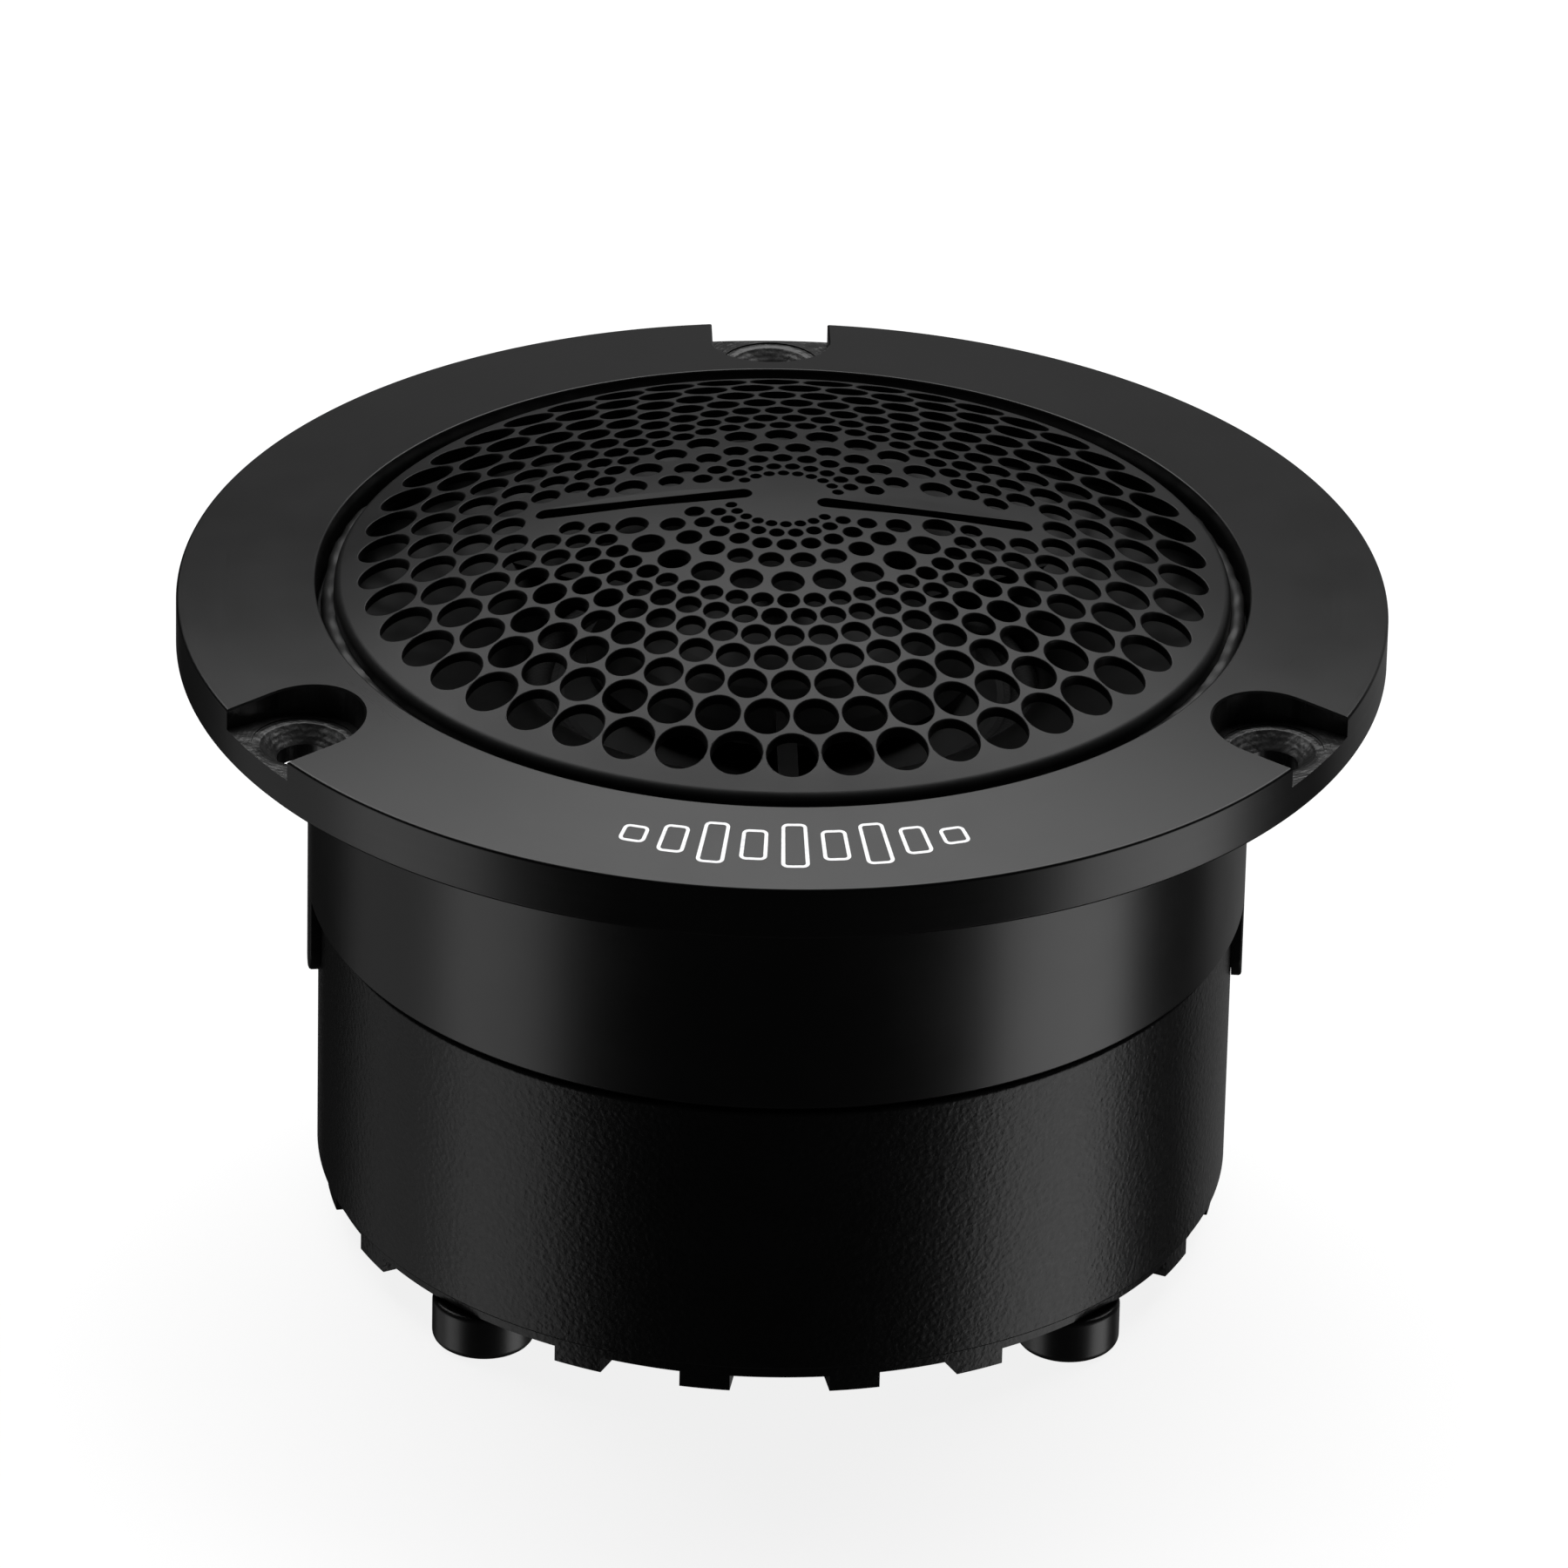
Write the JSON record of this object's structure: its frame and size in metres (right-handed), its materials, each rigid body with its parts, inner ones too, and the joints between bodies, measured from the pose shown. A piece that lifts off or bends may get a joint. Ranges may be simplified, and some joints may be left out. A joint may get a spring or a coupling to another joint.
{
  "type": "car tweeter",
  "caption": "Flush-mount car tweeter: flanged round housing with open screw slots, domed perforated grille, moving-coil dome driver inside and a finned rear cover with blade terminals.",
  "frame": {"origin": "centre of the circle of mounting holes, on the underside of the flange where it seats on a panel", "axes": "+Z along the tweeter's axis, out of the grille; +Y towards the mounting slot at the back; +X towards the positive blade"},
  "size_m": [0.097, 0.097, 0.064],
  "materials": {
    "housing_anodised": "satin black anodised",
    "grille_steel": "satin black powder coat",
    "adhesive": "matte",
    "black_plastic": "satin",
    "dome_metal": "satin",
    "surround_fabric": "coated cloth",
    "former_film": "satin film",
    "copper_wire": "enamelled",
    "ring_plastic": "satin",
    "tinned_brass": "tinned",
    "plated_steel": "zinc plated",
    "magnet_nickel": "nickel plated",
    "copper_sheet": "bright",
    "felt": "matte",
    "gasket_rubber": "matte",
    "cover_painted": "fine textured black paint",
    "black_steel": "satin black oxide",
    "wire_red": "satin",
    "wire_black": "satin"
  },
  "bodies": {
    "housing_body": {"front_housing": "housing_anodised", "grille": "grille_steel", "grille_adhesive": "adhesive", "waveguide": "black_plastic", "phase_plug": "black_plastic", "surround": "surround_fabric", "tinsel_lead_plus": "copper_wire", "tinsel_lead_minus": "copper_wire", "diaphragm_ring": "ring_plastic", "solder_lug_plus": "tinned_brass", "solder_lug_minus": "tinned_brass", "front_plate": "plated_steel", "ring_magnet": "magnet_nickel", "pole_yoke": "plated_steel", "copper_cap": "copper_sheet", "dome_damping_pad": "felt", "motor_screws": "plated_steel", "chamber_foam": "felt", "seam_gasket": "gasket_rubber", "rear_cover": "cover_painted", "cover_screws": "black_steel", "terminal_block": "black_plastic", "terminal_gasket": "gasket_rubber", "terminal_screws": "plated_steel", "terminal_plus": "tinned_brass", "terminal_minus": "tinned_brass", "wire_plus": "wire_red", "wire_minus": "wire_black"},
    "diaphragm_assembly": {"dome": "dome_metal", "coil_former": "former_film", "voice_coil": "copper_wire"}
  },
  "joints": [
    {"name": "diaphragm_travel", "type": "slide", "parent": "housing_body", "child": "diaphragm_assembly", "axis": [0, 0, 1], "range_m": [-0.0004, 0.0004], "stiffness_N_per_m": 20000, "deforming": ["surround"]}
  ]
}
